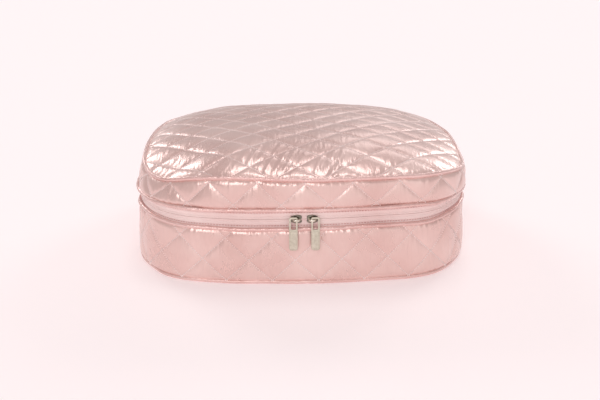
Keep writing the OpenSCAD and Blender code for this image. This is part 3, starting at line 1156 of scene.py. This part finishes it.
def zip_tape(name, node, body, seam_z, side):
    """One tape from its seam to the zip's middle. side is 1 for the lower tape and -1 for the upper one."""
    reach = abs(zip_z - seam_z)
    profile = [
        (0.0, -0.0012),
        (0.0013, -0.0008),
        (0.0026, 0.0000),
        (reach * 0.45, -0.0005),
        (reach - 0.0035, -0.0005),
        (reach - 0.0026, -0.0004),
        (reach - 0.0022, 0.0000),
        (reach - 0.0018, 0.0000),
        (reach - 0.0014, -0.0005),
        (reach - 0.0004, -0.0007),
        (reach - 0.0001, -0.0003),
        (reach - 0.0001, 0.0006),
        (reach - 0.0010, 0.0006),
        (reach * 0.45, 0.0004),
        (0.0, 0.0010),
    ]
    count = 480
    u = np.linspace(-zip_end, zip_end, count)
    points = []
    for up, inward in profile:
        flat, _ = outline(u, tape_inset + inward + 0.0001 * ripple(u, u * 0, 51, 0.03))
        z = seam_z + side * up
        points.append(at_height(flat, u, z))
    per = len(profile)
    faces = grid_faces(count, per, False, tube=True)
    if side < 0:
        faces = faces[:, ::-1]
    ends = [list(range(per))[:: side], [(count - 1) * per + k for k in range(per)][:: -side]]
    thing = piece(name, np.stack(points, axis=1), faces.tolist() + ends, tape_cloth)
    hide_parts(node)
    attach(thing, body)
    row = np.linspace(-zip_end, zip_end, 760)
    flat, out = outline(row, tape_inset + 0.0003)
    z = seam_z + side * (reach - 0.0020)
    line = at_height(flat, row, z)
    out = np.column_stack([out, np.zeros(len(out))])
    sewing = stitches(name + "_stitching", line[:-1], line[1:], out[:-1], rose_thread, 0.00020, 0.8)
    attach(sewing, body)
    row = np.linspace(-zip_end, zip_end, 340)
    flat, _ = outline(row, tape_inset - 0.0003)
    z = seam_z + side * 0.0026
    line = at_height(flat, row, z)
    out = np.column_stack([outline(row)[1], np.zeros(len(row))])
    topstitch = stitches(name + "_topstitching", line[:-1], line[1:], out[:-1], rose_thread, 0.00034, 0.72)
    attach(topstitch, body)


zip_tape("lower_woven_tape", "lower_zip_tape", "bag_body", body_seam_z, 1)
zip_tape("upper_woven_tape", "upper_zip_tape", "lid", lid_rim_z, -1)

# ---- Nylon coils ----
# Monofilament wound round a cord and sewn to the inner face of each tape, with its turns
# crimped into heads that lock between the turns of the other tape.

nylon = cloth_finish(
    "coil_nylon",
    deep=(0.83, 0.58, 0.55),
    pale=(0.93, 0.72, 0.69),
    rough=0.30,
    thread=(4000, 0.00001),
    crease=(900, 0.00002),
    specular=0.6,
)
turn_pitch = 0.0015


def coil(name, node, body, side, offset):
    """The turns of one coil as thin bent rods, with heads that point up (side 1) or down (-1)."""
    low, high = corners_of(node)
    outer = half_w - high[0] + 0.0003
    foot = low[2] if side > 0 else high[2]
    reach = abs(zip_z - foot) + 0.0004
    count = int(2 * zip_end / turn_pitch)
    u = -zip_end + (np.arange(count) + 0.5 + offset) * turn_pitch
    path = [
        (0.0000, 0.0, 0.00024, 0.0),
        (0.0000, reach * 0.72, 0.00026, 0.0),
        (0.0003, reach * 0.93, 0.00034, 0.00006),
        (0.0008, reach * 1.00, 0.00038, 0.00012),
        (0.0013, reach * 0.93, 0.00034, 0.00018),
        (0.0016, reach * 0.72, 0.00026, 0.00024),
        (0.0016, 0.0, 0.00024, 0.00030),
    ]
    sides = 6
    rings = []
    for k, (inward, up, thick, slip) in enumerate(path):
        before = path[max(k - 1, 0)]
        after = path[min(k + 1, len(path) - 1)]
        run = np.array([after[0] - before[0], after[1] - before[1]])
        run /= np.linalg.norm(run)
        for corner in range(sides):
            turn = 2 * math.pi * corner / sides
            deeper = outer + inward + run[1] * thick * math.sin(turn)
            flat, _ = outline(u + slip + thick * math.cos(turn), deeper)
            z = foot + side * (up - run[0] * thick * math.sin(turn))
            rings.append(at_height(flat, u, z))
    thing = piece(name, np.stack(rings, axis=1), rod_faces(len(path), sides, count), nylon)
    face_outwards(thing.data)
    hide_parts(node)
    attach(thing, body)


coil("lower_nylon_coil", "lower_zip_coil", "bag_body", 1, 0.0)
coil("upper_nylon_coil", "upper_zip_coil", "lid", -1, 0.5)

# ---- The cloth hinge ----
# Where the zip stops at the back, a folded strip of satin joins the body to the lid. It
# is sewn behind both pipings. The real strip bends when the lid opens; this mesh keeps
# its closed shape.

hinge_satin = cloth_finish(
    "hinge_satin", thread=(2600, 0.00004), crease=(420, 0.0008), grain=(1, 1, 0.25), **satin_tones
)
hinge_z0 = hinge_low[2] - 0.0022
hinge_z1 = hinge_high[2] + 0.0022
hinge_columns = 121
hinge_rows = 25
hinge_out = half_d - hinge_high[1] + 0.0007
hinge_in = half_d - hinge_low[1] - 0.0012


def hinge_sheet():
    """Points of the strip's outer face going up, then of its inner face coming down."""
    u = girth / 2 + np.linspace(-hinge_half, hinge_half, hinge_columns)
    points = []
    for face, inset in ((0, hinge_out), (1, hinge_in)):
        order = range(hinge_rows) if face == 0 else range(hinge_rows - 1, -1, -1)
        for row in order:
            share = row / (hinge_rows - 1)
            z = hinge_z0 + share * (hinge_z1 - hinge_z0)
            belly = math.sin(math.pi * share)
            soft = 0.0006 * belly * ripple(u, u * 0 + share * 0.02, 91 + face, 0.022, 9)
            folds = 0.0003 * (1 - 0.6 * belly) * puckers(u, u * 0 + share * 0.012, 94 + face, 0.0055)
            gap = -0.0010 * belly if face == 0 else 0.0006 * belly
            flat, out = outline(u, inset)
            flat = flat - out * (gap + soft + folds)[:, None]
            points.append(at_height(flat, u, z))
    return np.stack(points, axis=1)


hinge_points = hinge_sheet()
per = hinge_points.shape[1]
hinge_faces = grid_faces(hinge_columns, per, False, tube=True).tolist()
hinge_ends = [list(range(per)), [(hinge_columns - 1) * per + k for k in range(per)][::-1]]
hinge = piece("cloth_hinge", hinge_points, hinge_faces + hinge_ends, hinge_satin)
face_outwards(hinge.data)
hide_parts("hinge_panel")
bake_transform(hinge)

# ---- Sliders, crowns and pulls ----
# Die-cast zinc, nickel plated. Each slider is a pair of plates with turned-in edges, and
# an arched crown holds the pull, whose window hangs over the crown's outer foot.


def nickel_group():
    """Plated casting: cloudy tone and faint polishing lines."""
    sockets = [("INPUT", "Float", ("Line Depth",)), ("OUTPUT", "Float", ("Cloud", "Height"))]
    group = new_group("plated_casting", sockets)
    entry = group.nodes.new("NodeGroupInput")
    leave = group.nodes.new("NodeGroupOutput")
    link = group.links.new
    where = group.nodes.new("ShaderNodeTexCoord")
    cloud = add_node(group, "ShaderNodeTexNoise", Scale=420.0, Detail=4.0, Roughness=0.6)
    link(where.outputs["Object"], cloud.inputs["Vector"])
    squeeze = group.nodes.new("ShaderNodeMapping")
    squeeze.inputs["Scale"].default_value = (1.0, 0.4, 0.06)
    link(where.outputs["Object"], squeeze.inputs["Vector"])
    lines = add_node(group, "ShaderNodeTexNoise", Scale=9000.0, Detail=2.0, Roughness=0.5)
    link(squeeze.outputs["Vector"], lines.inputs["Vector"])
    depth = multiplied(group, lines.outputs["Fac"], entry.outputs["Line Depth"])
    link(cloud.outputs["Fac"], leave.inputs["Cloud"])
    link(depth, leave.inputs["Height"])
    return group


plated_casting = nickel_group()


def nickel_finish(name, deep, pale, rough, line_depth):
    """A plated metal, between a deep and a pale tone, with polishing lines line_depth deep."""
    ramp = [(0.35, deep), (0.65, pale)]
    gloss_to = (rough * 0.75, rough * 1.3)
    finish, plate, shader = grouped_finish(name, plated_casting, "Cloud", ramp, (0.0, 1.0), gloss_to)
    plate["Line Depth"].default_value = line_depth
    shader["Metallic"].default_value = 1.0
    return finish


# Painted shade and painted dark reflections: the slider plates carry the same plating as the crown and the
# pull, but their nickel is painted much darker.
slider_nickel_painted_shade = nickel_finish("slider_nickel_painted_shade", (0.16, 0.15, 0.12), (0.30, 0.28, 0.23), 0.14, 0.000004)
# Painted highlight: the crown's nickel is painted paler than the pull's, though both carry the same
# plating.
crown_nickel_painted_highlight = nickel_finish("crown_nickel_painted_highlight", (0.62, 0.58, 0.48), (0.86, 0.82, 0.72), 0.12, 0.000004)
pull_nickel = nickel_finish("pull_nickel", (0.56, 0.505, 0.41), (0.70, 0.64, 0.54), 0.36, 0.000010)


def rounded_box_outline(x0, x1, z0, z1, radius, steps=6):
    """Corners of a rounded rectangle, going round from the low left. radius may be one per corner."""
    radii = [radius] * 4 if np.isscalar(radius) else radius
    places = ((x0, z0, 180), (x1, z0, 270), (x1, z1, 0), (x0, z1, 90))
    points = []
    for (x, z, start), r in zip(places, radii):
        cx = x + r if x == x0 else x - r
        cz = z + r if z == z0 else z - r
        for step in range(steps + 1):
            angle = math.radians(start + 90 * step / steps)
            points.append((cx + r * math.cos(angle), cz + r * math.sin(angle)))
    return points


def cast_plate(name, loops, thick, bevel, place):
    """A plate cut to closed outlines, with rounded edges. place moves it from its own plane."""
    shape = bpy.data.curves.new(name, "CURVE")
    shape.dimensions = "2D"
    shape.fill_mode = "BOTH"
    shape.extrude = thick / 2 - bevel
    shape.bevel_depth = bevel
    shape.bevel_resolution = 3
    for loop in loops:
        spline = shape.splines.new("POLY")
        spline.points.add(len(loop) - 1)
        for point, (x, y) in zip(spline.points, loop):
            point.co = (x, y, 0, 1)
        spline.use_cyclic_u = True
    drawn = bpy.data.objects.new(name, shape)
    scene.collection.objects.link(drawn)
    bpy.context.view_layer.update()
    mesh = bpy.data.meshes.new_from_object(drawn.evaluated_get(bpy.context.evaluated_depsgraph_get()))
    bpy.data.objects.remove(drawn)
    bpy.data.curves.remove(shape)
    shell = bmesh.new()
    shell.from_mesh(mesh)
    bmesh.ops.remove_doubles(shell, verts=shell.verts, dist=1e-6)
    bmesh.ops.recalc_face_normals(shell, faces=shell.faces)
    bmesh.ops.transform(shell, matrix=place, verts=shell.verts)
    shell.to_mesh(mesh)
    shell.free()
    return mesh


def join_shapes(name, meshes, finish):
    """One object from several meshes."""
    shell = bmesh.new()
    for mesh in meshes:
        shell.from_mesh(mesh)
    joined = bpy.data.meshes.new(name)
    shell.to_mesh(joined)
    shell.free()
    for mesh in meshes:
        bpy.data.meshes.remove(mesh)
    joined.materials.clear()
    joined.materials.append(finish)
    joined.polygons.foreach_set("use_smooth", [True] * len(joined.polygons))
    joined.polygons.foreach_set("material_index", [0] * len(joined.polygons))
    joined.set_sharp_from_angle(angle=math.radians(35))
    thing = bpy.data.objects.new(name, joined)
    scene.collection.objects.link(thing)
    return thing


def facing_front(x, y, z):
    """Lays a plate's own plane upright, facing the front, with its middle at the point."""
    return Matrix.Translation((x, y, z)) @ Matrix.Rotation(math.radians(90), 4, "X")


def swept_bar(path, widths, thicks, sides=12, squareness=0.6):
    """A cast bar with a squarish oval section, swept along points with a width and thickness each."""
    points = np.array(path, float)
    steps = len(points)
    rings = []
    for k in range(steps):
        run = points[min(k + 1, steps - 1)] - points[max(k - 1, 0)]
        run = run / np.linalg.norm(run)
        across = np.array([0.0, 0.0, 1.0])
        away = np.cross(run, across)
        for corner in range(sides):
            turn = 2 * math.pi * corner / sides
            wide = abs(math.cos(turn)) ** squareness * np.sign(math.cos(turn))
            deep = abs(math.sin(turn)) ** squareness * np.sign(math.sin(turn))
            rings.append(points[k] + across * widths[k] / 2 * wide + away * thicks[k] / 2 * deep)
    mesh = bpy.data.meshes.new("bar")
    mesh.from_pydata([tuple(p) for p in rings], [], rod_faces(steps, sides))
    face_outwards(mesh)
    return mesh


for hand, side in (("left", -1), ("right", 1)):
    low, high = corners_of(hand + "_slider")
    near_x = min(abs(low[0]), abs(high[0]))
    far_x = max(abs(low[0]), abs(high[0]))
    half_h = (high[2] - low[2]) / 2
    mid_z = (high[2] + low[2]) / 2
    plate_t = 0.0009
    edge_round = 0.0003
    # The plates are broad where the tapes part and narrow where the closed zip leaves them.
    edge = [
        (near_x + 0.0004, half_h * 0.80),
        (near_x + 0.0022, half_h * 0.97),
        (near_x + 0.0040, half_h),
        (far_x - 0.0016, half_h * 0.84),
        (far_x - 0.0005, half_h * 0.72),
        (far_x, half_h * 0.45),
    ]
    notch = [(near_x, half_h * 0.45), (near_x + 0.0007, 0.0), (near_x, -half_h * 0.45)]
    shield = [(x, -z) for x, z in edge] + edge[::-1] + notch
    shield = [(side * x, z) for x, z in shield]
    meshes = [
        cast_plate("outer", [shield], plate_t, edge_round, facing_front(0, low[1] + plate_t / 2, mid_z)),
        cast_plate("inner", [shield], plate_t, edge_round, facing_front(0, high[1] - plate_t / 2, mid_z)),
    ]
    wedge = rounded_box_outline(near_x + 0.0003, near_x + 0.0026, -0.0004, 0.0004, 0.0003)
    wedge = [(side * x, z) for x, z in wedge]
    wedge_t = high[1] - low[1] - plate_t
    wedge_place = facing_front(0, (low[1] + high[1]) / 2, mid_z)
    meshes.append(cast_plate("wedge", [wedge], wedge_t, 0.0001, wedge_place))
    slider = join_shapes(hand + "_cast_slider", meshes, slider_nickel_painted_shade)
    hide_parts(hand + "_slider")
    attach(slider, hand + "_slider")

    crown_low, crown_high = corners_of(hand + "_slider_crown")
    foot_in = min(abs(crown_low[0]), abs(crown_high[0])) + 0.0005
    foot_out = max(abs(crown_low[0]), abs(crown_high[0])) - 0.0005
    rise = crown_high[1] - crown_low[1]
    bow = []
    widths = []
    thicks = []
    for step in range(17):
        angle = math.pi * step / 16
        x = (foot_in + foot_out) / 2 - math.cos(angle) * (foot_out - foot_in) / 2
        y = low[1] + 0.0003 - (rise - 0.0003) * math.sin(angle) ** 0.55
        bow.append((side * x, y, mid_z))
        widths.append(0.0017 + 0.0007 * abs(math.cos(angle)) ** 3)
        thicks.append(0.0010)
    arch = join_shapes(hand + "_cast_crown", [swept_bar(bow, widths, thicks)], crown_nickel_painted_highlight)
    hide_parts(hand + "_slider_crown")
    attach(arch, hand + "_slider")

    pull_low, pull_high = corners_of(hand + "_pull")
    pull_w = pull_high[0] - pull_low[0]
    pull_x = (pull_low[0] + pull_high[0]) / 2
    pull_lean_degrees = 12
    lean = math.radians(pull_lean_degrees)
    pull_t = 0.0011
    pull_l = (pull_high[2] - pull_low[2] - pull_t * math.sin(lean)) / math.cos(lean)
    top_y = pull_high[1] - pull_t / 2 * math.cos(lean)
    top_z = pull_high[2] - pull_t / 2 * math.sin(lean)
    hang = Matrix.Translation((pull_x, top_y, top_z)) @ Matrix.Rotation(math.pi / 2 - lean, 4, "X")
    rim = 0.00105
    window_l = 0.0100
    body_shape = rounded_box_outline(-pull_w / 2, pull_w / 2, -pull_l, 0, [0.0018, 0.0018, 0.0012, 0.0012])
    window = rounded_box_outline(-pull_w / 2 + rim, pull_w / 2 - rim, -window_l, -rim, 0.0005)[::-1]
    meshes = [cast_plate("tab", [body_shape, window], pull_t, edge_round, hang)]
    tab_top = -window_l - 0.0012
    border_x = pull_w / 2 - 0.0003
    hollow_x = pull_w / 2 - 0.0009
    border = rounded_box_outline(-border_x, border_x, -pull_l + 0.0003, tab_top, 0.0015)
    hollow = rounded_box_outline(-hollow_x, hollow_x, -pull_l + 0.0009, tab_top - 0.0006, 0.0011)[::-1]
    face = hang @ Matrix.Translation((0, 0, pull_t / 2 + 0.00002))
    meshes.append(cast_plate("border", [border, hollow], 0.00032, 0.00012, face))
    # A raised chain of quilt diamonds fills the hollow.
    chain = 5
    link_l = (pull_l + tab_top - 0.0030) / chain
    for k in range(chain):
        mid = tab_top - 0.0015 - link_l * (k + 0.5)
        tall, wide = link_l * 0.46, 0.00125
        outer = [(0, mid - tall), (wide, mid), (0, mid + tall), (-wide, mid)]
        inner = [(0, mid - tall * 0.5), (-wide * 0.5, mid), (0, mid + tall * 0.5), (wide * 0.5, mid)]
        meshes.append(cast_plate("diamond", [outer, inner], 0.00028, 0.00010, face))
    pull = join_shapes(hand + "_cast_pull", meshes, pull_nickel)
    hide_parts(hand + "_pull")
    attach(pull, hand + "_pull")
